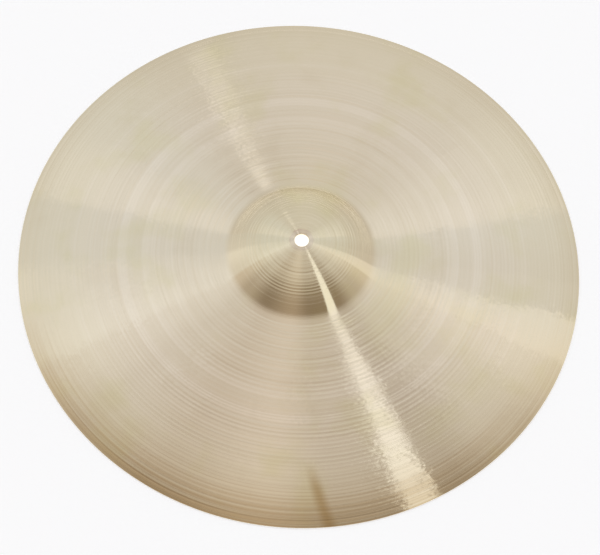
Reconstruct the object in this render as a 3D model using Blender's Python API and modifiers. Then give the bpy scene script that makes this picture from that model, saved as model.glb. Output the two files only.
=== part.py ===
"""A thin suspended cymbal, 20 inches across, hammered and turned from one bronze casting.

The cymbal lies on its rim with the bell up. The origin is the middle of the plane that it lies on,
and +Z runs up the axis that it was turned about. Sizes are in metres and angles in degrees.

The upper face is a chain of tangent arcs and lines in the plane of +X and +Z. It runs outwards from
the flat seat round the mounting hole, over the bell and its fillet, and down the bow to the rim.
The underside is the same chain, set in by a wall that thins from the hole to the rim.
"""

import math

import bpy
from mathutils import Vector

# Radii seen from above
EDGE_RADIUS = 0.254
BELL_RADIUS = 0.0665
SEAT_RADIUS = 0.0105
HOLE_RADIUS = 0.00635

# Shape of the bow: a long arc round the axis, and a tighter one that turns the last stretch down
BOW_RADIUS = 1.36
BEND_RADIUS = 0.12
BEND_WIDTH = 0.018

# Shape of the bell: BELL_RADIUS is where its flank would meet the bow in a sharp corner
CROWN_RADIUS = 0.135
SHOULDER_RADIUS = 0.075
FLANK_ANGLE = 37.5
FLANK_LENGTH = 0.001
FILLET_RADIUS = 0.018

# Wall, measured square to the upper face
HOLE_WALL = 0.0018
FILLET_WALL = 0.00135
EDGE_WALL = 0.0009

# Eased corners of the hole and the rim, and the narrow flat that the rim lies on
HOLE_EASE = 0.0003
EDGE_EASE = 0.00025
FOOT_WIDTH = 0.0005

# Grooves that the lathe tool leaves: a row down the bell's side from a radius, single rings on the
# bow, and a row that starts and ends at these distances in from the rim
BELL_GROOVES = 14
BELL_GROOVES_FROM = 0.029
BELL_GROOVE_DEPTH = 0.00008
RING_RADII = (0.143, 0.1585, 0.1620)
RING_WIDTH = 0.0014
RING_DEPTH = 0.00010
RIM_GROOVES = 8
RIM_GROOVES_START = 0.0236
RIM_GROOVES_END = 0.004
RIM_GROOVE_DEPTH = 0.00006

# Fineness of the mesh
TURN_STEPS = 64
CROWN_STEPS = 2
SHOULDER_STEPS = 4
FILLET_STEPS = 3
BOW_STEP = 0.030
BEND_STEPS = 3
EASE_STEPS = 2
SHARP_ANGLE = 28.0

# Finish
BRONZE_COLOUR = (0.70, 0.62, 0.46, 1.0)
BRONZE_ROUGHNESS = 0.32
BRONZE_METALLIC = 1.0


class Line:
    """A straight stretch of the upper face, with its length and its upward normal."""

    def __init__(self, start, end):
        self.start = start
        self.direction = (end - start).normalized()
        self.length = (end - start).length
        self.normal = Vector((-self.direction.y, self.direction.x))

    def at(self, distance):
        return self.start + self.direction * distance, self.normal


class Arc:
    """A round stretch of the upper face between two directions from its centre.

    The directions are angles from +Z towards +X. A crest has its centre under the face and its
    angles grow outwards. A hollow has its centre over the face, and its angles shrink.
    """

    def __init__(self, centre, radius, start, end):
        self.centre = centre
        self.radius = radius
        self.start = start
        self.turn = math.copysign(1.0, end - start)
        self.length = radius * abs(end - start)

    def at(self, distance):
        angle = self.start + self.turn * distance / self.radius
        spoke = Vector((math.sin(angle), math.cos(angle)))
        return self.centre + spoke * self.radius, spoke * self.turn


class Chain:
    """Stretches of the upper face laid end to end and read as one."""

    def __init__(self, stretches):
        self.stretches = stretches
        self.length = sum(stretch.length for stretch in stretches)

    def at(self, distance):
        for stretch in self.stretches[:-1]:
            if distance <= stretch.length:
                return stretch.at(distance)
            distance -= stretch.length
        return self.stretches[-1].at(distance)

    def distance_to(self, radius):
        """Distance along the chain at which it reaches a radius seen from above."""
        near, far = 0.0, self.length
        for _ in range(40):
            middle = (near + far) / 2.0
            if self.at(middle)[0].x < radius:
                near = middle
            else:
                far = middle
        return (near + far) / 2.0


def direction_to(point, centre):
    """Angle from +Z towards +X of the line from a centre to a point."""
    return math.atan2(point.x - centre.x, point.y - centre.y)


def rim_bend():
    """The bend that turns the rim down, and the centre of the bow's arc, which the bend touches."""
    start = math.asin((EDGE_RADIUS - BEND_WIDTH) / BOW_RADIUS)
    centre_reach = BOW_RADIUS - BEND_RADIUS
    centre = Vector((centre_reach * math.sin(start), 0.0))
    end = math.asin((EDGE_RADIUS - EDGE_EASE - centre.x) / BEND_RADIUS)
    centre.y = EDGE_WALL - BEND_RADIUS * math.cos(end)
    bow_centre = Vector((0.0, centre.y - centre_reach * math.cos(start)))
    return Arc(centre, BEND_RADIUS, start, end), bow_centre


def upper_face():
    """The stretches of the upper face by name, each tangent to the next beyond the seat."""
    bend, bow_centre = rim_bend()
    slope = math.radians(FLANK_ANGLE)
    down = Vector((math.cos(slope), -math.sin(slope)))
    out = Vector((math.sin(slope), math.cos(slope)))

    # The fillet's centre is one fillet radius off the flank and off the bow, so it is where a
    # line beside the flank crosses a circle round the bow's centre.
    corner = Vector((BELL_RADIUS, bow_centre.y + math.sqrt(BOW_RADIUS ** 2 - BELL_RADIUS ** 2)))
    beside = corner + out * FILLET_RADIUS - bow_centre
    reach = BOW_RADIUS + FILLET_RADIUS
    along = beside.dot(down)
    back = -along - math.sqrt(along ** 2 - beside.length_squared + reach ** 2)
    forth = -along + math.sqrt(along ** 2 - beside.length_squared + reach ** 2)
    shift = back if abs(back) < abs(forth) else forth
    fillet_centre = bow_centre + beside + down * shift
    fillet_start = corner + down * shift
    bow_start = bow_centre + (fillet_centre - bow_centre) * (BOW_RADIUS / reach)

    # The shoulder touches the flank's top, and the crown round the axis touches the shoulder.
    flank_start = fillet_start - down * FLANK_LENGTH
    shoulder_centre = flank_start - out * SHOULDER_RADIUS
    between = CROWN_RADIUS - SHOULDER_RADIUS
    crown_drop = math.sqrt(between ** 2 - shoulder_centre.x ** 2)
    crown_centre = Vector((0.0, shoulder_centre.y - crown_drop))
    crown_end = direction_to(shoulder_centre, crown_centre)
    seat_end = math.asin(SEAT_RADIUS / CROWN_RADIUS)

    seat_height = crown_centre.y + CROWN_RADIUS * math.cos(seat_end)
    hole_corner = Vector((HOLE_RADIUS + HOLE_EASE, seat_height))
    seat_corner = Vector((SEAT_RADIUS, seat_height))
    return {
        "seat": Line(hole_corner, seat_corner),
        "crown": Arc(crown_centre, CROWN_RADIUS, seat_end, crown_end),
        "shoulder": Arc(shoulder_centre, SHOULDER_RADIUS, crown_end, slope),
        "flank": Line(flank_start, fillet_start),
        "fillet": hollow_arc(fillet_centre, FILLET_RADIUS, fillet_start, bow_start),
        "bow": Arc(bow_centre, BOW_RADIUS, direction_to(bow_start, bow_centre), bend.start),
        "bend": bend,
    }


def hollow_arc(centre, radius, start, end):
    """The arc under a centre from one point on it to the next, which runs outwards."""
    first = direction_to(start, centre) % math.tau
    last = direction_to(end, centre) % math.tau
    return Arc(centre, radius, first, last)


def wall_at(radius):
    """Thickness of the wall under a point of the upper face outside the seat."""
    if radius < BELL_RADIUS:
        share = (radius - SEAT_RADIUS) / (BELL_RADIUS - SEAT_RADIUS)
        return HOLE_WALL + (FILLET_WALL - HOLE_WALL) * share
    share = (radius - BELL_RADIUS) / (EDGE_RADIUS - BELL_RADIUS)
    return FILLET_WALL + (EDGE_WALL - FILLET_WALL) * share


def even_steps(start, end, count):
    """Distances from start to end in equal steps, without the start."""
    return [start + (end - start) * step / count for step in range(1, count + 1)]


def pieces_of(length, step):
    """How many steps of about the given size fill a length."""
    return max(1, math.ceil(length / step - 0.01))


def sunk(stretch, distance, depth):
    """The point at a distance along a stretch, sunk square to the face."""
    point, normal = stretch.at(distance)
    return point - normal * depth


def plain(stretch, start, end, count):
    """Points on the face itself, from after the start to the end."""
    return [sunk(stretch, distance, 0.0) for distance in even_steps(start, end, count)]


def grooved(stretch, start, end, grooves, depth):
    """Points in a row of equal vees, from the first valley to the end's crest."""
    points = []
    for number, distance in enumerate(even_steps(start, end, 2 * grooves)):
        is_valley = number % 2 == 0
        points.append(sunk(stretch, distance, depth if is_valley else 0.0))
    return points


def bell_outline(face):
    """Points of the bell's upper face, plain near the seat and grooved down to the flank."""
    dome = Chain([face["crown"], face["shoulder"]])
    plain_end = dome.distance_to(BELL_GROOVES_FROM)
    points = plain(dome, 0.0, plain_end, CROWN_STEPS)
    points += grooved(dome, plain_end, dome.length, BELL_GROOVES, BELL_GROOVE_DEPTH)
    points += plain(face["flank"], 0.0, face["flank"].length, 1)
    points += plain(face["fillet"], 0.0, face["fillet"].length, FILLET_STEPS)
    return points


def bow_bands(bow):
    """Start, end, grooves and depth of each grooved band of the bow, by distance along it."""
    bands = []
    for radius in RING_RADII:
        middle = bow.distance_to(radius)
        lip = RING_WIDTH / 2.0
        bands.append((middle - lip, middle + lip, 1, RING_DEPTH))
    start = bow.distance_to(EDGE_RADIUS - RIM_GROOVES_START)
    end = bow.distance_to(EDGE_RADIUS - RIM_GROOVES_END)
    bands.append((start, end, RIM_GROOVES, RIM_GROOVE_DEPTH))
    return bands


def bow_outline(bow):
    """Points of the upper face of the bow and its bend, plain between the grooved bands."""
    points = []
    done = 0.0
    for start, end, grooves, depth in bow_bands(bow):
        points += plain(bow, done, start, pieces_of(start - done, BOW_STEP))
        points += grooved(bow, start, end, grooves, depth)
        done = end
    return points + plain(bow, done, bow.length, pieces_of(bow.length - done, BOW_STEP))


def eased_corner(centre, radius, start):
    """Points on a quarter circle that turns from a start angle, in degrees, away from +Z."""
    angles = [start + 90.0 * step / EASE_STEPS for step in range(EASE_STEPS + 1)]
    spokes = [Vector((math.sin(math.radians(a)), math.cos(math.radians(a)))) for a in angles]
    return [centre + spoke * radius for spoke in spokes]


def rim_outline(bend):
    """Points of the rim, from under its upper corner to the inner edge of its flat foot."""
    upper_corner = bend.at(bend.length)[0]
    upper_centre = Vector((EDGE_RADIUS - EDGE_EASE, upper_corner.y - EDGE_EASE))
    lower_centre = Vector((EDGE_RADIUS - EDGE_EASE, EDGE_EASE))
    foot_inside = Vector((EDGE_RADIUS - EDGE_EASE - FOOT_WIDTH, 0.0))
    upper = eased_corner(upper_centre, EDGE_EASE, 0.0)[1:]
    lower = eased_corner(lower_centre, EDGE_EASE, 90.0)
    return upper + lower + [foot_inside]


def underside(face):
    """Points of the underside, from beside the foot inwards to the flat round the hole."""
    bow, bend = face["bow"], face["bend"]
    foot_distance = Chain([bend]).distance_to(EDGE_RADIUS - EDGE_EASE - 2.0 * FOOT_WIDTH)
    stretches = [
        (bend, foot_distance, BEND_STEPS),
        (bow, bow.length, pieces_of(bow.length, BOW_STEP)),
        (face["fillet"], face["fillet"].length, FILLET_STEPS),
        (face["flank"], face["flank"].length, 1),
        (face["shoulder"], face["shoulder"].length, SHOULDER_STEPS),
        (face["crown"], face["crown"].length, CROWN_STEPS),
    ]
    points = []
    for stretch, length, count in stretches:
        for distance in reversed(even_steps(0.0, length, count)):
            above = stretch.at(distance)[0]
            points.append(sunk(stretch, distance, wall_at(above.x)))
    return points


def hole_outline(seat):
    """Points of the hole, from the outer edge of the lower flat up to its upper eased corner."""
    top = seat.at(0.0)[0].y
    bottom = top - HOLE_WALL
    lower_centre = Vector((HOLE_RADIUS + HOLE_EASE, bottom + HOLE_EASE))
    upper_centre = Vector((HOLE_RADIUS + HOLE_EASE, top - HOLE_EASE))
    flat_outside = Vector((SEAT_RADIUS, bottom))
    lower = eased_corner(lower_centre, HOLE_EASE, 180.0)
    upper = eased_corner(upper_centre, HOLE_EASE, 270.0)
    return [flat_outside] + lower + upper


def cymbal_section():
    """The closed section: out along the upper face, round the rim, back under, up the hole."""
    face = upper_face()
    seat = face["seat"]
    points = plain(seat, 0.0, seat.length, 1)
    points += bell_outline(face)
    points += bow_outline(Chain([face["bow"], face["bend"]]))
    points += rim_outline(face["bend"])
    points += underside(face)
    points += hole_outline(seat)
    return points


def turned_object(name, section, collection):
    """An object whose closed section is turned about +Z, with smooth faces and crisp corners."""
    profile = bpy.data.meshes.new(name + "_section")
    corners = [(point.x, 0.0, point.y) for point in section]
    edges = [(index, (index + 1) % len(section)) for index in range(len(section))]
    profile.from_pydata(corners, edges, [])
    turned = bpy.data.objects.new(name, profile)
    collection.objects.link(turned)

    screw = turned.modifiers.new("turned_about_z", "SCREW")
    screw.axis = "Z"
    screw.angle = math.tau
    screw.steps = TURN_STEPS
    screw.render_steps = TURN_STEPS
    screw.use_merge_vertices = True
    screw.merge_threshold = 0.00001

    graph = bpy.context.evaluated_depsgraph_get()
    solid = bpy.data.meshes.new_from_object(turned.evaluated_get(graph))
    solid.name = name
    turned.modifiers.remove(screw)
    turned.data = solid
    bpy.data.meshes.remove(profile)
    solid.shade_smooth()
    solid.set_sharp_from_angle(angle=math.radians(SHARP_ANGLE))
    return turned


def bronze_material():
    """Pale cast bronze, bright from the lathe."""
    material = bpy.data.materials.new("turned_bronze")
    material.use_nodes = True
    shader = material.node_tree.nodes["Principled BSDF"]
    shader.inputs["Base Color"].default_value = BRONZE_COLOUR
    shader.inputs["Roughness"].default_value = BRONZE_ROUGHNESS
    shader.inputs["Metallic"].default_value = BRONZE_METALLIC
    return material


def clear_scene():
    for old in list(bpy.data.objects):
        bpy.data.objects.remove(old, do_unlink=True)


def main():
    clear_scene()
    collection = bpy.data.collections.new("suspended_cymbal")
    bpy.context.scene.collection.children.link(collection)
    cymbal = turned_object("cymbal", cymbal_section(), collection)
    cymbal.data.materials.append(bronze_material())


main()
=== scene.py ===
"""Looks of a suspended cymbal: one pale bronze disc, hammered, pressed and turned on a lathe.

Lengths are in metres and angles in degrees. +Z runs up out of the bell, the camera stands on the
-Y side, and an azimuth runs from +X towards +Y.
"""

import math

import bpy
import numpy as np
from mathutils import Matrix, Vector


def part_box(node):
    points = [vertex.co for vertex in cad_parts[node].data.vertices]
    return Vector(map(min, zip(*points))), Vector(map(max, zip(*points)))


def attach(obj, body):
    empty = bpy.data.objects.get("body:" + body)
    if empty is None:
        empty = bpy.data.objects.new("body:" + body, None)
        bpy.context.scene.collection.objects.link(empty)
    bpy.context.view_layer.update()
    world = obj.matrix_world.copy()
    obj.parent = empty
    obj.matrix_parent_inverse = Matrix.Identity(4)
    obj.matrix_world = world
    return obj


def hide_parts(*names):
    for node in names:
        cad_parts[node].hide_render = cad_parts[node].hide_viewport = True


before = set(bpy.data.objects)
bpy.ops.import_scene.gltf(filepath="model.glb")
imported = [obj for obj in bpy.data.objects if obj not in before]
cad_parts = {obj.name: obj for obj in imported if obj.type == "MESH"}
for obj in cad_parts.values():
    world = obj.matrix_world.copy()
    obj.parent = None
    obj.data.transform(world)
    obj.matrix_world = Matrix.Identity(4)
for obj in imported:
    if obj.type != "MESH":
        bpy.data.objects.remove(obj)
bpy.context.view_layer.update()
LOWEST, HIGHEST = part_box("cymbal")

# The camera: where it stands as seen from the middle of the rim, and how the picture is framed
CAMERA_ELEVATION = 63.18
CAMERA_DISTANCE = 2.0
CAMERA_ROLL = 4.74
PICTURE_WIDTH = 600
PICTURE_CENTRE = (300.0, 277.5)
RIM_CENTRE_PIXEL = (299.79, 263.11)
FOCAL_PIXELS = 2206.0
SENSOR_WIDTH = 36.0

# Outline of the upper face: its radius and the seat's height come from the frame, and the rest
# repeats the solid
EDGE_RADIUS = HIGHEST.x
BELL_RADIUS = 0.0665
SEAT_RADIUS = 0.0105
HOLE_RADIUS = 0.00635
BOW_RADIUS = 1.36
BEND_RADIUS = 0.12
BEND_WIDTH = 0.018
CROWN_RADIUS = 0.135
SHOULDER_RADIUS = 0.075
FLANK_ANGLE = 37.5
FLANK_LENGTH = 0.001
FILLET_RADIUS = 0.018

# Wall, measured square to the upper face, and the eased corners of the hole and the rim
HOLE_WALL = 0.0018
FILLET_WALL = 0.00135
EDGE_WALL = 0.0009
HOLE_EASE = 0.0003
EDGE_EASE = 0.00025
FOOT_WIDTH = 0.0005

# Grooves that the lathe cut, by radius: start, end, pitch and depth. Their widths and depths stray
# by a share.
BELL_GROOVES = [
    (0.0160, 0.0300, 0.0033, 0.000110),
    (0.0300, 0.0520, 0.0028, 0.000180),
    (0.0520, 0.0600, 0.0028, 0.000080),
]
BOW_GROOVES = [
    (0.0700, 0.1000, 0.0037, 0.000135),
    (0.1000, 0.1430, 0.0043, 0.000150),
    (0.1430, 0.1560, 0.0043, 0.000080),
    (0.1560, 0.1640, 0.0027, 0.000100),
    (0.1640, 0.1800, 0.0042, 0.000150),
    (0.1800, 0.2080, 0.0037, 0.000080),
    (0.2080, 0.2300, 0.0034, 0.000080),
    (0.2300, 0.2500, 0.0028, 0.000090),
]
UNDER_GROOVES = [(0.0720, 0.2500, 0.0046, 0.000060)]
PITCH_SPREAD = 0.16
DEPTH_SPREAD = 0.55

# Hammer marks: rings of shallow dents, how far apart they are along a ring, their radius and
# depth, and how much their turn, place, size and depth stray. They fade out before the rim.
DENT_RINGS = np.linspace(0.082, 0.236, 12)
DENT_SPACING = 0.019
DENT_RADIUS = 0.0085
DENT_DEPTH = 0.000030
DENT_TURN_SPREAD = 0.3
DENT_REACH_SPREAD = 0.006
DENT_SIZES = (0.8, 1.4)
DENT_STRENGTHS = (0.2, 1.0)
RIM_CLEAR = 0.0012
RIM_FADE = 0.010

# Start of the random draws, which the grooves and the dents share
SEED = 20

# Fineness of the mesh, and of the search along the face for a radius
TURN_STEPS = 200
GROOVE_STEPS = 5
UNDER_GROOVE_STEPS = 3
PLAIN_STEP = 0.0022
FILLET_STEPS = 6
EASE_STEPS = 3
SHARP_ANGLE = 28.0
HALVINGS = 40

# Bronze: its palest and brownest colours, its yellow tarnish, the seat and the worn ring round it,
# and the brown of the painted shade and the painted reflection at the front of the rim
BRONZE_PALE = (0.791, 0.692, 0.556, 1.0)
BRONZE_BROWN = (0.665, 0.560, 0.415, 1.0)
TARNISH_COLOUR = (0.695, 0.613, 0.395, 1.0)
SEAT_COLOUR = (0.690, 0.585, 0.450, 1.0)
SEAT_RING_COLOUR = (0.610, 0.480, 0.370, 1.0)
# Brown of the painted shade and of the painted reflection at the front of the rim
PAINTED_SHADE_AND_REFLECTION_COLOUR = (0.420, 0.265, 0.100, 1.0)

# By radius: the tone from brown, 0, to pale, 1, the share of tarnish, and how much the tone
# changes from one ring to the next
RING_TONES = [
    (0.000, 0.78, 0.42, 0.80),
    (0.024, 0.73, 0.50, 1.50),
    (0.038, 0.60, 0.54, 1.30),
    (0.044, 0.60, 0.52, 0.90),
    (0.062, 0.62, 0.40, 0.30),
    (0.070, 0.60, 0.10, 0.30),
    (0.078, 0.60, 0.10, 0.70),
    (0.100, 0.62, 0.08, 0.85),
    (0.130, 0.66, 0.05, 0.85),
    (0.142, 0.93, 0.00, 0.20),
    (0.1435, 0.64, 0.04, 0.30),
    (0.155, 0.69, 0.04, 0.40),
    (0.157, 0.93, 0.00, 0.30),
    (0.163, 0.96, 0.00, 0.30),
    (0.166, 0.68, 0.04, 0.80),
    (0.184, 0.74, 0.08, 0.60),
    (0.200, 0.79, 0.19, 0.40),
    (0.204, 0.87, 0.15, 0.40),
    (0.207, 0.76, 0.23, 0.30),
    (0.230, 0.75, 0.27, 0.40),
    (0.240, 0.68, 0.30, 0.60),
    (0.254, 0.60, 0.34, 0.60),
]

# The rings' own changes: how wide a ring is, how often it changes along a turn, and its detail
RING_NOISE = (0.0022, 0.8, 2.0)

# Patches all over the metal: the scale and the detail of their noise, and the values between
# which a patch grows. The brown patina takes away from the tone, and clouds add tarnish.
PATINA_PATCHES = (26.0, 4.0, 0.50, 0.80)
PATINA_DEPTH = 0.25
TARNISH_PATCHES = (17.0, 6.0, 0.50, 0.72)
TARNISH_SPREAD = 0.50

# The seat's soft edge, and the ring round it, which is worn away in patches
SEAT_BLEND = 0.0004
SEAT_RING_WIDTH = 0.0012
WORN_PATCHES = (90.0, 1.0, 0.42, 0.66)

# Painted shade along the front of the rim, on the side towards the camera, which is painted darker
# and browner there: the radii, the lengthwise places, as shares of the radius, and the values of the
# rings' noise between which it grows, and how much of the bronze it covers
FRONT_SHADE_RADII = (0.205, 0.262)
FRONT_SHADE_SHARES = (-0.15, -0.85)
FRONT_SHADE_NOISE = (0.10, 0.75)
FRONT_SHADE_COVER = 0.75

# Painted reflection of a dark thing, a brown streak across the front of the rim: its azimuth and how
# it bends with the radius, how wide it is, the radii between which it appears, and how much of the
# bronze it covers
REFLECTION_AZIMUTH = -96.2
REFLECTION_BEND = -64.0
REFLECTION_HALF_ANGLE = 2.2
REFLECTION_RADII = (0.196, 0.226)
REFLECTION_COVER = 0.62

# The height of a face's normal between which the painted shade and the painted reflection pass from
# the underside, which has none, to the upper face
UPPER_NORMALS = (-0.2, 0.2)

# The metal's shine, which is drawn out square to the turned lines
ROUGHNESS = 0.08
ROUGHNESS_SPREAD = 0.03
ANISOTROPY = 1.0
ANISOTROPIC_TURN = 0.25

# Fine turned lines: how wide they are, how often they change along a turn, their detail and depth
LINE_NOISE = (0.0004, 0.0, 1.0)
LINE_DEPTH = 0.00013

# Short ripples that the cutter left on the bow: the same sizes, the radii between which they
# grow, their patches, and the share of them that is left between the patches
RIPPLE_NOISE = (0.0030, 32.0, 1.0)
RIPPLE_DEPTH = 0.00006
RIPPLE_RADII = (BELL_RADIUS, 0.160)
RIPPLE_PATCHES = (28.0, 1.0, 0.40, 0.66)
RIPPLE_LEAST = 0.2

# Distance, in pixels, over which lines and ripples tilt the face
FILTER_WIDTH = 0.01

# The studio as the camera sees it in the cymbal: a face that slopes towards an azimuth mirrors
# what stands on that side, near the middle of the ceiling or, for a steep face, far out by the
# floor. Each entry has its azimuth, and the brightness and warmth of the light near and far.
STUDIO = [
    (0.0, (0.88, -0.03), (0.73, 0.04)),
    (14.5, (0.93, -0.05), (0.77, 0.03)),
    (17.5, (1.045, -0.03), (0.73, 0.03)),
    (30.0, (0.985, -0.03), (0.72, 0.03)),
    (50.0, (0.88, -0.02), (0.70, 0.05)),
    (90.0, (0.86, -0.01), (0.81, 0.01)),
    (125.0, (0.83, -0.01), (0.71, 0.02)),
    (148.0, (0.93, -0.05), (0.76, 0.02)),
    (163.0, (1.01, -0.04), (0.76, 0.01)),
    (169.0, (1.02, -0.04), (0.77, 0.02)),
    (172.0, (0.91, -0.05), (0.82, 0.00)),
    (184.0, (0.91, -0.05), (0.88, 0.00)),
    (190.0, (0.96, -0.04), (1.04, -0.01)),
    (206.8, (1.08, -0.04), (0.90, 0.01)),
    (210.2, (0.965, -0.02), (0.74, 0.08)),
    (225.0, (0.815, 0.01), (0.52, 0.11)),
    (244.0, (0.707, 0.06), (0.28, 0.21)),
    (267.0, (0.83, 0.05), (0.41, 0.20)),
    (282.0, (0.695, 0.05), (0.27, 0.23)),
    (307.0, (0.617, 0.05), (0.30, 0.21)),
    (324.0, (0.815, 0.01), (0.60, 0.08)),
    (341.2, (0.975, 0.00), (0.80, 0.07)),
    (342.8, (1.06, 0.00), (1.00, 0.03)),
    (351.2, (1.05, -0.03), (0.97, 0.03)),
    (352.8, (0.90, -0.03), (0.76, 0.04)),
]
NEAR_TO_FAR_SLOPES = (0.20, 0.62)

# The strip light over the camera's right: the azimuth that it runs towards, the angle that it
# covers to either side, half the width of its soft edge, and its brightness and warmth. It
# reaches back past the middle of the ceiling, and dims there between two slopes.
STRIP_AZIMUTH = 299.9
STRIP_HALF_ANGLE = 3.6
STRIP_EDGE = 0.25
STRIP_LIGHT = (1.23, -0.02)
STRIP_TAIL = (-0.28, 0.00)

# The floor just under the rim, what it adds to its paint for the camera and in reflections, and
# the plain backdrop that the camera sees past it
FLOOR_SIZE = 12.0
FLOOR_GAP = 0.0001
FLOOR_COLOUR = (0.90, 0.90, 0.90, 1.0)
FLOOR_GLOW = (0.32, 0.341, 0.373, 1.0)
MIRRORED_FLOOR_GLOW = (0.60, 0.62, 0.60, 1.0)
BACKDROP_COLOUR = (0.956, 0.956, 0.956, 1.0)
WHITE = (1.0, 1.0, 1.0, 1.0)


class Line:
    """A straight stretch of the upper face, with its length and its upward normal."""

    def __init__(self, start, end):
        self.start = start
        self.direction = (end - start).normalized()
        self.length = (end - start).length
        self.normal = Vector((-self.direction.y, self.direction.x))

    def at(self, distance):
        """The point and the normal at a distance from the start."""
        return self.start + self.direction * distance, self.normal


class Arc:
    """A round stretch of the upper face between two directions from its centre.

    The directions are angles from +Z towards +X. A crest has its centre under the face and its
    angles grow outwards. A hollow has its centre over the face, and its angles shrink.
    """

    def __init__(self, centre, radius, start, end):
        self.centre = centre
        self.radius = radius
        self.start = start
        self.turn = math.copysign(1.0, end - start)
        self.length = radius * abs(end - start)

    def at(self, distance):
        """The point and the upward normal at a distance from the start."""
        angle = self.start + self.turn * distance / self.radius
        spoke = Vector((math.sin(angle), math.cos(angle)))
        return self.centre + spoke * self.radius, spoke * self.turn


class Chain:
    """Stretches of the upper face laid end to end and read as one."""

    def __init__(self, stretches):
        self.stretches = stretches
        self.length = sum(stretch.length for stretch in stretches)

    def at(self, distance):
        """The point and the upward normal at a distance from the start of the first stretch."""
        for stretch in self.stretches[:-1]:
            if distance <= stretch.length:
                return stretch.at(distance)
            distance -= stretch.length
        return self.stretches[-1].at(distance)

    def distance_to(self, radius):
        """Distance along the chain at which it reaches a radius seen from above."""
        near, far = 0.0, self.length
        for _ in range(HALVINGS):
            middle = (near + far) / 2.0
            if self.at(middle)[0].x < radius:
                near = middle
            else:
                far = middle
        return (near + far) / 2.0


def direction_to(point, centre):
    """Angle from +Z towards +X of the line from a centre to a point."""
    return math.atan2(point.x - centre.x, point.y - centre.y)


def upper_face():
    """The flat seat, and the tangent stretches of the upper face from the seat to the rim."""
    # The bend at the rim touches the bow, and ends level with the rim's upper corner.
    bend_start = math.asin((EDGE_RADIUS - BEND_WIDTH) / BOW_RADIUS)
    inwards = BOW_RADIUS - BEND_RADIUS
    bend_centre = Vector((inwards * math.sin(bend_start), 0.0))
    bend_end = math.asin((EDGE_RADIUS - EDGE_EASE - bend_centre.x) / BEND_RADIUS)
    bend_centre.y = EDGE_WALL - BEND_RADIUS * math.cos(bend_end)
    bow_centre = Vector((0.0, bend_centre.y - inwards * math.cos(bend_start)))

    slope = math.radians(FLANK_ANGLE)
    down = Vector((math.cos(slope), -math.sin(slope)))
    out = Vector((math.sin(slope), math.cos(slope)))

    # The fillet's centre is one fillet radius off the flank and off the bow.
    corner = Vector((BELL_RADIUS, bow_centre.y + math.sqrt(BOW_RADIUS ** 2 - BELL_RADIUS ** 2)))
    beside = corner + out * FILLET_RADIUS - bow_centre
    reach = BOW_RADIUS + FILLET_RADIUS
    along = beside.dot(down)
    root = math.sqrt(along ** 2 - beside.length_squared + reach ** 2)
    shift = min(-along - root, -along + root, key=abs)
    fillet_centre = bow_centre + beside + down * shift
    fillet_start = corner + down * shift
    bow_start = bow_centre + (fillet_centre - bow_centre) * (BOW_RADIUS / reach)
    first = direction_to(fillet_start, fillet_centre) % math.tau
    last = direction_to(bow_start, fillet_centre) % math.tau

    # The shoulder touches the flank's top, and the crown round the axis touches the shoulder.
    flank_start = fillet_start - down * FLANK_LENGTH
    shoulder_centre = flank_start - out * SHOULDER_RADIUS
    between = CROWN_RADIUS - SHOULDER_RADIUS
    crown_drop = math.sqrt(between ** 2 - shoulder_centre.x ** 2)
    crown_centre = Vector((0.0, shoulder_centre.y - crown_drop))
    crown_end = direction_to(shoulder_centre, crown_centre)
    seat_end = math.asin(SEAT_RADIUS / CROWN_RADIUS)

    seat = Line(Vector((HOLE_RADIUS + HOLE_EASE, HIGHEST.z)), Vector((SEAT_RADIUS, HIGHEST.z)))
    bell = Chain([
        Arc(crown_centre, CROWN_RADIUS, seat_end, crown_end),
        Arc(shoulder_centre, SHOULDER_RADIUS, crown_end, slope),
        Line(flank_start, fillet_start),
    ])
    fillet = Arc(fillet_centre, FILLET_RADIUS, first, last)
    bow = Chain([
        Arc(bow_centre, BOW_RADIUS, direction_to(bow_start, bow_centre), bend_start),
        Arc(bend_centre, BEND_RADIUS, bend_start, bend_end),
    ])
    return seat, bell, fillet, bow


def wall_at(radius):
    """Thickness of the wall under a point of the upper face outside the seat."""
    if radius < BELL_RADIUS:
        share = (radius - SEAT_RADIUS) / (BELL_RADIUS - SEAT_RADIUS)
        return HOLE_WALL + (FILLET_WALL - HOLE_WALL) * share
    share = (radius - BELL_RADIUS) / (EDGE_RADIUS - BELL_RADIUS)
    return FILLET_WALL + (EDGE_WALL - FILLET_WALL) * share


def sunk(stretch, distance, depth):
    """The point at a distance along a stretch, sunk square to the face."""
    point, normal = stretch.at(distance)
    return point - normal * depth


def plain_run(start, end, step):
    """Distances and depths of a smooth stretch, without its start."""
    count = max(1, round((end - start) / step))
    return [(start + (end - start) * k / count, 0.0) for k in range(1, count + 1)]


def grooved_run(start, end, pitch, depth, steps, random):
    """Distances and depths of hollow grooves with crests between them, without the start."""
    count = max(1, round((end - start) / pitch))
    widths = 1.0 + PITCH_SPREAD * random.uniform(-1.0, 1.0, count)
    depths = depth * (1.0 + DEPTH_SPREAD * random.uniform(-1.0, 1.0, count))
    crests = start + (end - start) * np.concatenate([[0.0], np.cumsum(widths)]) / widths.sum()
    run = []
    for groove in range(count):
        for step in range(1, steps + 1):
            share = step / steps
            hollow = 4.0 * share * (1.0 - share)
            distance = crests[groove] + (crests[groove + 1] - crests[groove]) * share
            run.append((distance, depths[groove] * hollow))
    return run


def banded_run(stretch, bands, steps, random):
    """A stretch with its grooved bands, and plain runs between them."""
    run = []
    done = 0.0
    for inner, outer, pitch, depth in bands:
        start, end = stretch.distance_to(inner), stretch.distance_to(outer)
        if start - done > PLAIN_STEP / 2.0:
            run += plain_run(done, start, PLAIN_STEP)
        run += grooved_run(start, end, pitch, depth, steps, random)
        done = end
    if stretch.length - done > PLAIN_STEP / 2.0:
        run += plain_run(done, stretch.length, PLAIN_STEP)
    return run


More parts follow.
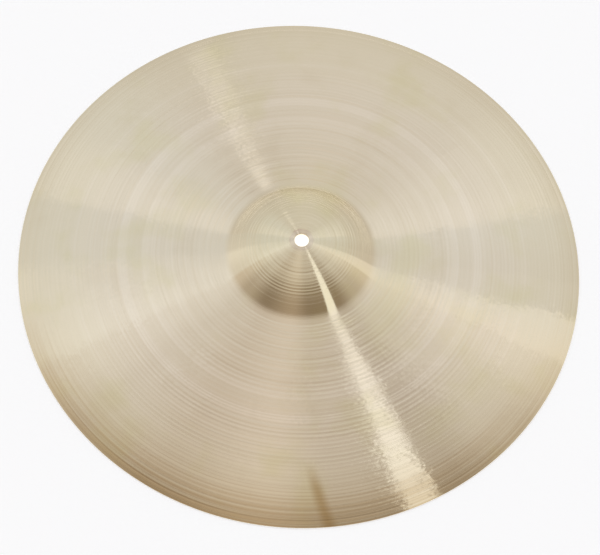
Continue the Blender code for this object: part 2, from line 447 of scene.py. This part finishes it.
def eased_corner(centre, radius, start):
    """Points on a quarter circle that starts this many degrees from +Z and turns clockwise."""
    angles = [start + 90.0 * step / EASE_STEPS for step in range(EASE_STEPS + 1)]
    spokes = [Vector((math.sin(math.radians(a)), math.cos(math.radians(a)))) for a in angles]
    return [centre + spoke * radius for spoke in spokes]


def upper_points(face, random):
    """The upper face from the seat's inner edge to the rim's upper corner."""
    seat, bell, fillet, bow = face
    points = [seat.at(0.0)[0], seat.at(seat.length / 2.0)[0], seat.at(seat.length)[0]]
    runs = [
        (bell, banded_run(bell, BELL_GROOVES, GROOVE_STEPS, random)),
        (fillet, plain_run(0.0, fillet.length, fillet.length / FILLET_STEPS)),
        (bow, banded_run(bow, BOW_GROOVES, GROOVE_STEPS, random)),
    ]
    for stretch, run in runs:
        points += [sunk(stretch, distance, depth) for distance, depth in run]
    return points


def rim_points(corner):
    """The rim, from under its upper corner to the inner edge of its flat foot."""
    upper_centre = Vector((EDGE_RADIUS - EDGE_EASE, corner.y - EDGE_EASE))
    lower_centre = Vector((EDGE_RADIUS - EDGE_EASE, EDGE_EASE))
    foot_inside = Vector((EDGE_RADIUS - EDGE_EASE - FOOT_WIDTH, 0.0))
    upper = eased_corner(upper_centre, EDGE_EASE, 0.0)[1:]
    return upper + eased_corner(lower_centre, EDGE_EASE, 90.0) + [foot_inside]


def under_points(face, random):
    """The underside, from beside the foot inwards to the flat round the hole."""
    _, bell, fillet, bow = face
    foot_distance = bow.distance_to(EDGE_RADIUS - EDGE_EASE - 2.0 * FOOT_WIDTH)
    bow_run = banded_run(bow, UNDER_GROOVES, UNDER_GROOVE_STEPS, random)
    bow_run = [pair for pair in bow_run if pair[0] < foot_distance - PLAIN_STEP / 2.0]
    runs = [
        (bow, bow_run + [(foot_distance, 0.0)]),
        (fillet, plain_run(0.0, fillet.length, fillet.length / FILLET_STEPS)),
        (bell, plain_run(0.0, bell.length, 2.0 * PLAIN_STEP)),
    ]
    points = []
    for stretch, run in runs:
        for distance, depth in reversed(run):
            above = stretch.at(distance)[0]
            points.append(sunk(stretch, distance, wall_at(above.x) - depth))
    return points


def hole_points(seat):
    """The hole, from the outer edge of the lower flat up to its upper eased corner."""
    top = seat.at(0.0)[0].y
    bottom = top - HOLE_WALL
    lower_centre = Vector((HOLE_RADIUS + HOLE_EASE, bottom + HOLE_EASE))
    upper_centre = Vector((HOLE_RADIUS + HOLE_EASE, top - HOLE_EASE))
    lower = eased_corner(lower_centre, HOLE_EASE, 180.0)
    upper = eased_corner(upper_centre, HOLE_EASE, 270.0)[:-1]
    return [Vector((SEAT_RADIUS, bottom))] + lower + upper


def dents(x, y, random):
    """Height that the hammer took off at each point, as a field of shallow round dents."""
    sunken = np.zeros_like(x)
    for ring, radius in enumerate(DENT_RINGS):
        count = int(math.tau * radius / DENT_SPACING)
        for number in range(count):
            place = number + 0.5 * (ring % 2)
            place += random.uniform(-DENT_TURN_SPREAD, DENT_TURN_SPREAD)
            azimuth = math.tau * place / count
            reach = radius + random.uniform(-DENT_REACH_SPREAD, DENT_REACH_SPREAD)
            size = DENT_RADIUS * random.uniform(*DENT_SIZES)
            depth = DENT_DEPTH * random.uniform(*DENT_STRENGTHS)
            away = (x - reach * math.cos(azimuth)) ** 2 + (y - reach * math.sin(azimuth)) ** 2
            sunken += depth * np.exp(-away / (size * size))
    return sunken


def cymbal_mesh():
    """The fine cymbal: its section turned about +Z, then dented by the hammer on both faces."""
    random = np.random.default_rng(SEED)
    face = upper_face()
    upper = upper_points(face, random)
    section = upper + rim_points(upper[-1]) + under_points(face, random) + hole_points(face[0])
    radii = np.array([point.x for point in section])
    heights = np.array([point.y for point in section])
    azimuths = np.arange(TURN_STEPS) * math.tau / TURN_STEPS
    x = radii[:, None] * np.cos(azimuths)
    y = radii[:, None] * np.sin(azimuths)
    rim_fade = np.clip((EDGE_RADIUS - RIM_CLEAR - radii) / RIM_FADE, 0.0, 1.0)[:, None]
    z = heights[:, None] - rim_fade * dents(x, y, random)

    rows, columns = x.shape
    row, column = np.meshgrid(np.arange(rows), np.arange(columns), indexing="ij")
    next_row, next_column = (row + 1) % rows, (column + 1) % columns
    corners = [row * columns + column, next_row * columns + column]
    corners += [next_row * columns + next_column, row * columns + next_column]
    faces = np.stack([corner.ravel() for corner in corners], axis=1)

    points = np.stack([x.ravel(), y.ravel(), z.ravel()], axis=1)
    mesh = bpy.data.meshes.new("bronze_cymbal")
    mesh.from_pydata(points.tolist(), [], faces.tolist())
    mesh.validate()
    mesh.shade_smooth()
    mesh.set_sharp_from_angle(angle=math.radians(SHARP_ANGLE))
    return mesh


def node(tree, kind, **settings):
    """A new shader node with its plain properties set."""
    made = tree.nodes.new(kind)
    for name, value in settings.items():
        setattr(made, name, value)
    return made


def feed(tree, socket, value):
    """Gives a socket a number, a colour or another node's output."""
    if isinstance(value, bpy.types.NodeSocket):
        tree.links.new(value, socket)
    else:
        socket.default_value = value


def math_node(tree, operation, *values):
    """The output of a Math node, each of whose inputs is a number or another output."""
    made = node(tree, "ShaderNodeMath", operation=operation)
    for socket, value in zip(made.inputs, values):
        feed(tree, socket, value)
    return made.outputs[0]


def map_range(tree, value, low, high):
    """The output of a Map Range node that takes low to 0 and high to 1, with soft ends."""
    made = node(tree, "ShaderNodeMapRange", interpolation_type="SMOOTHSTEP")
    tree.links.new(value, made.inputs["Value"])
    made.inputs["From Min"].default_value = low
    made.inputs["From Max"].default_value = high
    return made.outputs[0]


def mix_colours(tree, share, first, second):
    """The output of a Mix node that goes from the first colour to the second."""
    made = node(tree, "ShaderNodeMix", data_type="RGBA")
    colours = [socket for socket in made.inputs if socket.type == "RGBA"]
    feed(tree, made.inputs["Factor"], share)
    feed(tree, colours[0], first)
    feed(tree, colours[1], second)
    return [socket for socket in made.outputs if socket.type == "RGBA"][0]


def split(tree, vector):
    """The X, Y and Z of a vector, each as an output."""
    made = node(tree, "ShaderNodeSeparateXYZ")
    tree.links.new(vector, made.inputs[0])
    return made.outputs["X"], made.outputs["Y"], made.outputs["Z"]


def sum_of_products(tree, first, second, third, fourth):
    """The first value times the second, plus the third times the fourth."""
    return math_node(tree, "MULTIPLY_ADD", third, fourth, math_node(tree, "MULTIPLY", first, second))


def product(tree, *values):
    """All the values multiplied together."""
    made = values[0]
    for value in values[1:]:
        made = math_node(tree, "MULTIPLY", made, value)
    return made


def noise(tree, vector, scale, detail):
    """The value of a Noise Texture node."""
    made = node(tree, "ShaderNodeTexNoise")
    feed(tree, made.inputs["Vector"], vector)
    made.inputs["Scale"].default_value = scale
    made.inputs["Detail"].default_value = detail
    return made.outputs["Fac"]


def patches(tree, place, scale, detail, low, high):
    """Soft patches: 1 where a noise is above the high value, and 0 where it is below the low one."""
    return map_range(tree, noise(tree, place, scale, detail), low, high)


class Spot:
    """The shaded point: its place, its X and Y, and its radius from the axis, as outputs."""

    def __init__(self, tree):
        self.place = node(tree, "ShaderNodeTexCoord").outputs["Object"]
        self.x, self.y, _ = split(tree, self.place)
        squared = sum_of_products(tree, self.x, self.x, self.y, self.y)
        self.radius = math_node(tree, "SQRT", squared)


def turned_noise(tree, spot, width, turns, detail):
    """A noise that changes once per width outwards, and along a circle in proportion to turns."""
    joined = node(tree, "ShaderNodeCombineXYZ")
    spoke_x = math_node(tree, "DIVIDE", spot.x, spot.radius)
    spoke_y = math_node(tree, "DIVIDE", spot.y, spot.radius)
    feed(tree, joined.inputs["X"], math_node(tree, "DIVIDE", spot.radius, width))
    feed(tree, joined.inputs["Y"], math_node(tree, "MULTIPLY", spoke_x, turns))
    feed(tree, joined.inputs["Z"], math_node(tree, "MULTIPLY", spoke_y, turns))
    return noise(tree, joined.outputs[0], 1.0, detail)


def ring_tones(tree, radius):
    """The tone, the share of tarnish and the contrast at a radius, kept as a ramp's colours."""
    ramp = node(tree, "ShaderNodeValToRGB")
    elements = ramp.color_ramp.elements
    while len(elements) < len(RING_TONES):
        elements.new(1.0)
    for element, (reach, tone, tarnish, contrast) in zip(elements, RING_TONES):
        element.position = reach / RING_TONES[-1][0]
        element.color = (tone, tarnish, contrast, 1.0)
    feed(tree, ramp.inputs["Fac"], math_node(tree, "DIVIDE", radius, EDGE_RADIUS))
    rings = node(tree, "ShaderNodeSeparateColor")
    tree.links.new(ramp.outputs["Color"], rings.inputs[0])
    return rings.outputs["Red"], rings.outputs["Green"], rings.outputs["Blue"]


def bare_colour(tree, spot, ring_noise):
    """The bronze without painted shade and reflection: rings of tone, a patchy patina and clouds of
    tarnish.
    """
    tone, tarnish, contrast = ring_tones(tree, spot.radius)
    change = math_node(tree, "SUBTRACT", ring_noise, 0.5)
    tone = math_node(tree, "MULTIPLY_ADD", change, contrast, tone)
    patina = product(tree, patches(tree, spot.place, *PATINA_PATCHES), PATINA_DEPTH)
    tone = math_node(tree, "SUBTRACT", tone, patina)
    colour = mix_colours(tree, tone, BRONZE_BROWN, BRONZE_PALE)
    clouds = patches(tree, spot.place, *TARNISH_PATCHES)
    tarnish = math_node(tree, "MULTIPLY_ADD", clouds, TARNISH_SPREAD, tarnish)
    return mix_colours(tree, tarnish, colour, TARNISH_COLOUR)


def upper_side(tree):
    """1 on faces that look up and 0 on those that look down."""
    normal = node(tree, "ShaderNodeTexCoord").outputs["Normal"]
    return map_range(tree, split(tree, normal)[2], *UPPER_NORMALS)


def painted_front_shade(tree, spot, ring_noise, upper):
    """How much the painted shade along the front of the rim covers."""
    front = map_range(tree, math_node(tree, "DIVIDE", spot.y, spot.radius), *FRONT_SHADE_SHARES)
    outer = map_range(tree, spot.radius, *FRONT_SHADE_RADII)
    uneven = map_range(tree, ring_noise, *FRONT_SHADE_NOISE)
    return product(tree, front, outer, uneven, upper, FRONT_SHADE_COVER)


def painted_reflection_share(tree, spot, upper):
    """How much the painted reflection, a brown streak across the front of the rim, covers."""
    azimuth = math_node(tree, "DEGREES", math_node(tree, "ARCTAN2", spot.y, spot.x))
    azimuth = math_node(tree, "MULTIPLY_ADD", spot.radius, REFLECTION_BEND, azimuth)
    beside = math_node(tree, "ABSOLUTE", math_node(tree, "SUBTRACT", azimuth, REFLECTION_AZIMUTH))
    near = map_range(tree, beside, REFLECTION_HALF_ANGLE, 0.0)
    outer = map_range(tree, spot.radius, *REFLECTION_RADII)
    return product(tree, near, outer, upper, REFLECTION_COVER)


def with_seat(tree, spot, colour):
    """A colour with the warmer seat laid over it, and the worn ring at the seat's edge."""
    on_seat = map_range(tree, spot.radius, SEAT_RADIUS + SEAT_BLEND, SEAT_RADIUS - SEAT_BLEND)
    colour = mix_colours(tree, on_seat, colour, SEAT_COLOUR)
    off_ring = math_node(tree, "ABSOLUTE", math_node(tree, "SUBTRACT", spot.radius, SEAT_RADIUS))
    on_ring = map_range(tree, off_ring, SEAT_RING_WIDTH, 0.0)
    on_ring = product(tree, on_ring, patches(tree, spot.place, *WORN_PATCHES))
    return mix_colours(tree, on_ring, colour, SEAT_RING_COLOUR)


def bumped(tree, height, depth):
    """A Bump node that takes a height of 1 for a depth in metres."""
    bump = node(tree, "ShaderNodeBump")
    bump.inputs["Distance"].default_value = depth
    bump.inputs["Filter Width"].default_value = FILTER_WIDTH
    tree.links.new(height, bump.inputs["Height"])
    return bump


def turned_normal(tree, spot):
    """The face's normal with the cutter's ripples, and the fine turned lines over them."""
    ripples = turned_noise(tree, spot, *RIPPLE_NOISE)
    patchy = patches(tree, spot.place, *RIPPLE_PATCHES)
    share = math_node(tree, "MULTIPLY_ADD", patchy, 1.0 - RIPPLE_LEAST, RIPPLE_LEAST)
    share = product(tree, map_range(tree, spot.radius, *RIPPLE_RADII), share)
    rippled = bumped(tree, product(tree, ripples, share), RIPPLE_DEPTH)
    lined = bumped(tree, turned_noise(tree, spot, *LINE_NOISE), LINE_DEPTH)
    tree.links.new(rippled.outputs["Normal"], lined.inputs["Normal"])
    return lined.outputs["Normal"]


def bronze_material():
    """Pale cast bronze, turned and tarnished, with painted shade and a painted reflection at the
    rim's front.
    """
    material = bpy.data.materials.new("turned_bronze_fine")
    material.use_nodes = True
    tree = material.node_tree
    shader = tree.nodes["Principled BSDF"]
    shader.inputs["Metallic"].default_value = 1.0
    shader.inputs["Anisotropic"].default_value = ANISOTROPY
    shader.inputs["Anisotropic Rotation"].default_value = ANISOTROPIC_TURN
    tangent = node(tree, "ShaderNodeTangent", direction_type="RADIAL", axis="Z")
    tree.links.new(tangent.outputs[0], shader.inputs["Tangent"])

    spot = Spot(tree)
    ring_noise = turned_noise(tree, spot, *RING_NOISE)
    upper = upper_side(tree)
    colour = bare_colour(tree, spot, ring_noise)
    # Painted shade: the front of the rim, towards the camera, darker and browner
    colour = mix_colours(tree, painted_front_shade(tree, spot, ring_noise, upper), colour, PAINTED_SHADE_AND_REFLECTION_COLOUR)
    # Painted reflection of a dark thing: a brown streak across the front of the rim
    colour = mix_colours(tree, painted_reflection_share(tree, spot, upper), colour, PAINTED_SHADE_AND_REFLECTION_COLOUR)
    tree.links.new(with_seat(tree, spot, colour), shader.inputs["Base Color"])

    smoothest = ROUGHNESS - ROUGHNESS_SPREAD / 2.0
    roughness = math_node(tree, "MULTIPLY_ADD", ring_noise, ROUGHNESS_SPREAD, smoothest)
    tree.links.new(roughness, shader.inputs["Roughness"])
    tree.links.new(turned_normal(tree, spot), shader.inputs["Normal"])
    return material


def make_cymbal():
    """The whole object in one piece, which shows in place of the plain solid."""
    cymbal = bpy.data.objects.new("bronze_cymbal", cymbal_mesh())
    bpy.context.scene.collection.objects.link(cymbal)
    cymbal.data.materials.append(bronze_material())
    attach(cymbal, "root")
    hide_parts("cymbal")


def make_floor():
    """A white table top, which keeps the cymbal's shadow."""
    half = FLOOR_SIZE / 2.0
    level = LOWEST.z - FLOOR_GAP
    corners = [(x * half, y * half, level) for x, y in [(-1, -1), (1, -1), (1, 1), (-1, 1)]]
    mesh = bpy.data.meshes.new("floor")
    mesh.from_pydata(corners, [], [(0, 1, 2, 3)])
    floor = bpy.data.objects.new("floor", mesh)
    bpy.context.scene.collection.objects.link(floor)
    mesh.materials.append(floor_material())


def floor_material():
    """White paint that also glows, for the camera and in reflections.

    Towards the axis the glow goes up to full white, which shows only through the cymbal's hole.
    """
    material = bpy.data.materials.new("white_floor")
    material.use_nodes = True
    tree = material.node_tree
    tree.nodes.clear()
    paint = node(tree, "ShaderNodeBsdfDiffuse")
    paint.inputs["Color"].default_value = FLOOR_COLOUR
    path = node(tree, "ShaderNodeLightPath")
    mirrored = path.outputs["Is Glossy Ray"]
    glow = node(tree, "ShaderNodeEmission")
    seen = math_node(tree, "MAXIMUM", straight_seen(tree, path), mirrored)
    tree.links.new(seen, glow.inputs["Strength"])
    bare = mix_colours(tree, mirrored, FLOOR_GLOW, MIRRORED_FLOOR_GLOW)
    covered = map_range(tree, Spot(tree).radius, BELL_RADIUS, SEAT_RADIUS)
    tree.links.new(mix_colours(tree, covered, bare, WHITE), glow.inputs["Color"])
    both = node(tree, "ShaderNodeAddShader")
    tree.links.new(paint.outputs[0], both.inputs[0])
    tree.links.new(glow.outputs[0], both.inputs[1])
    output = node(tree, "ShaderNodeOutputMaterial")
    tree.links.new(both.outputs[0], output.inputs["Surface"])
    return material


def straight_seen(tree, path):
    """1 for what the camera sees directly or through something clear, and 0 for all else."""
    kinds = [path.outputs["Is Camera Ray"], path.outputs["Is Transmission Ray"]]
    return math_node(tree, "MAXIMUM", *kinds)


def mirroring_slope(tree):
    """How steeply a face slopes along X and Y if it mirrors this direction to the camera."""
    halfway = node(tree, "ShaderNodeVectorMath", operation="ADD")
    tree.links.new(node(tree, "ShaderNodeTexCoord").outputs["Generated"], halfway.inputs[0])
    halfway.inputs[1].default_value = camera_direction()
    x, y, z = split(tree, halfway.outputs[0])
    return math_node(tree, "DIVIDE", x, z), math_node(tree, "DIVIDE", y, z)


def studio_light(tree, slope_x, slope_y):
    """The light that a slope mirrors, from its azimuth and its steepness."""
    turn = math_node(tree, "ARCTAN2", slope_y, slope_x)
    azimuth = math_node(tree, "FLOORED_MODULO", math_node(tree, "DEGREES", turn), 360.0)
    start, near, far = STUDIO[-1]
    start -= 360.0
    near, far = tinted(*near), tinted(*far)
    for end, next_near, next_far in STUDIO:
        share = map_range(tree, azimuth, start, end)
        near = mix_colours(tree, share, near, tinted(*next_near))
        far = mix_colours(tree, share, far, tinted(*next_far))
        start = end
    squared = sum_of_products(tree, slope_x, slope_x, slope_y, slope_y)
    steepness = math_node(tree, "SQRT", squared)
    return mix_colours(tree, map_range(tree, steepness, *NEAR_TO_FAR_SLOPES), near, far)


def strip_share(tree, slope_x, slope_y):
    """How much of the strip light a slope mirrors."""
    azimuth = math.radians(STRIP_AZIMUTH)
    east, north = math.cos(azimuth), math.sin(azimuth)
    along = sum_of_products(tree, slope_x, east, slope_y, north)
    across = sum_of_products(tree, slope_x, -north, slope_y, east)
    sides = [math_node(tree, "ABSOLUTE", across), math_node(tree, "ABSOLUTE", along)]
    aside = math_node(tree, "DEGREES", math_node(tree, "ARCTAN2", *sides))
    within = map_range(tree, aside, STRIP_HALF_ANGLE + STRIP_EDGE, STRIP_HALF_ANGLE - STRIP_EDGE)
    return product(tree, within, map_range(tree, along, *STRIP_TAIL))


def make_world():
    """A soft studio with one strip light, set out by the slope of the faces that mirror it.

    The camera itself sees only the plain backdrop.
    """
    world = bpy.data.worlds.new("studio")
    bpy.context.scene.world = world
    world.use_nodes = True
    tree = world.node_tree
    slope = mirroring_slope(tree)
    colour = studio_light(tree, *slope)
    colour = mix_colours(tree, strip_share(tree, *slope), colour, tinted(*STRIP_LIGHT))
    seen = straight_seen(tree, node(tree, "ShaderNodeLightPath"))
    colour = mix_colours(tree, seen, colour, BACKDROP_COLOUR)
    tree.links.new(colour, tree.nodes["Background"].inputs["Color"])


def tinted(brightness, warmth):
    """A light's colour: more red and less blue the warmer it is."""
    return (brightness * (1.0 + warmth), brightness, brightness * (1.0 - warmth), 1.0)


def camera_direction():
    """From the middle of the rim to the camera."""
    elevation = math.radians(CAMERA_ELEVATION)
    return Vector((0.0, -math.cos(elevation), math.sin(elevation)))


def make_camera():
    """The photograph's view, rolled a little and aimed just below the middle of the rim."""
    elevation, roll = math.radians(CAMERA_ELEVATION), math.radians(CAMERA_ROLL)
    place = camera_direction() * CAMERA_DISTANCE
    level_up = Vector((0.0, math.sin(elevation), math.cos(elevation)))
    right = Vector((math.cos(roll), 0.0, 0.0)) + level_up * math.sin(roll)
    up = level_up * math.cos(roll) - Vector((math.sin(roll), 0.0, 0.0))
    pixel = CAMERA_DISTANCE / FOCAL_PIXELS
    aim = right * (PICTURE_CENTRE[0] - RIM_CENTRE_PIXEL[0]) * pixel
    aim -= up * (PICTURE_CENTRE[1] - RIM_CENTRE_PIXEL[1]) * pixel

    back = (place - aim).normalized()
    up = (up - back * up.dot(back)).normalized()
    right = up.cross(back)
    turn = Matrix((right, up, back)).transposed()
    camera = bpy.data.objects.new("camera", bpy.data.cameras.new("camera"))
    camera.matrix_world = Matrix.Translation(place) @ turn.to_4x4()
    camera.data.sensor_width = SENSOR_WIDTH
    camera.data.lens = FOCAL_PIXELS * SENSOR_WIDTH / PICTURE_WIDTH
    bpy.context.scene.collection.objects.link(camera)
    bpy.context.scene.camera = camera


make_camera()
make_floor()
make_world()
make_cymbal()
bpy.context.scene.view_settings.view_transform = "Standard"
